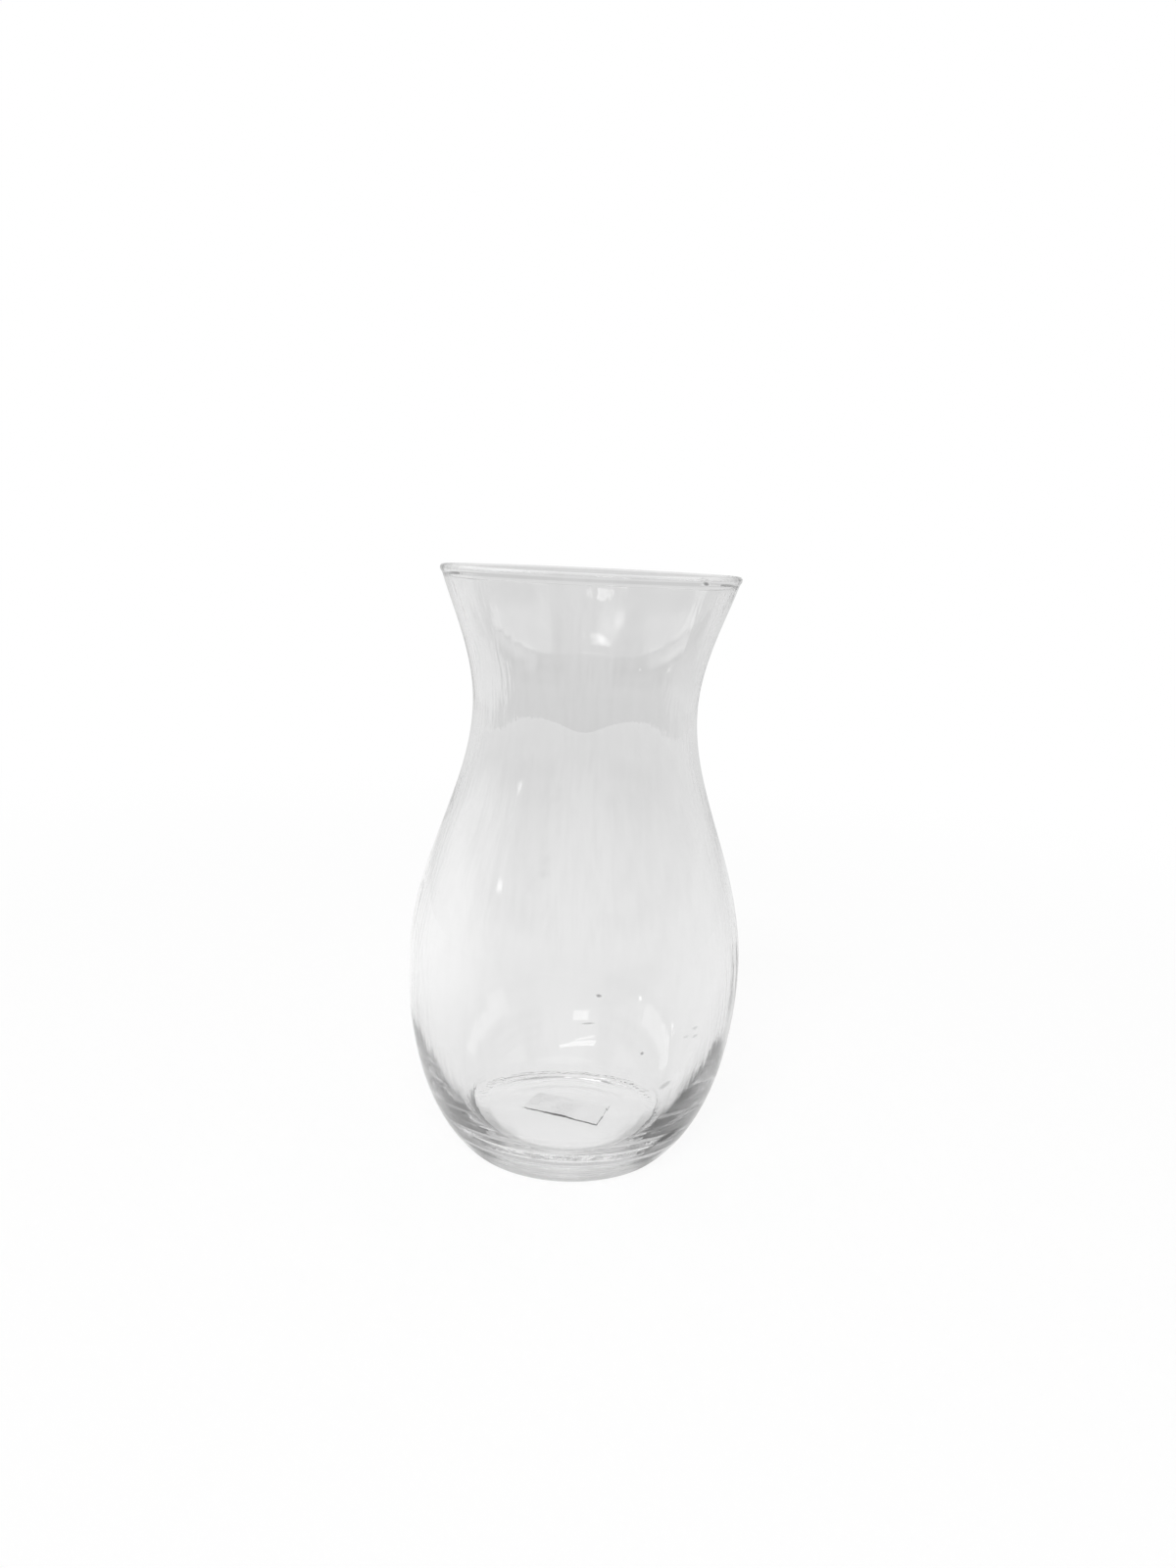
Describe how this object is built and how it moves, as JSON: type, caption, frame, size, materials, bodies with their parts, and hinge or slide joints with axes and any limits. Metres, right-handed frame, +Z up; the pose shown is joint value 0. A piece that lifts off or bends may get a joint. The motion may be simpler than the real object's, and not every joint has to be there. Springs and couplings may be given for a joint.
{
  "type": "vase",
  "caption": "Clear blown-glass vase with a round belly, narrow waist and flared lip, thick flat floor, and a small blank price label under its foot.",
  "frame": {"origin": "middle of the foot, on the surface that the vase stands on", "axes": "+Z up along the vase's axis; +X to the right and +Y away from the viewer in the picture"},
  "size_m": [0.149, 0.149, 0.26],
  "materials": {
    "clear_glass": "clear, fire-polished",
    "label_paper": "matt"
  },
  "bodies": {
    "root": {"vessel": "clear_glass", "paper_label": "label_paper"}
  },
  "joints": []
}
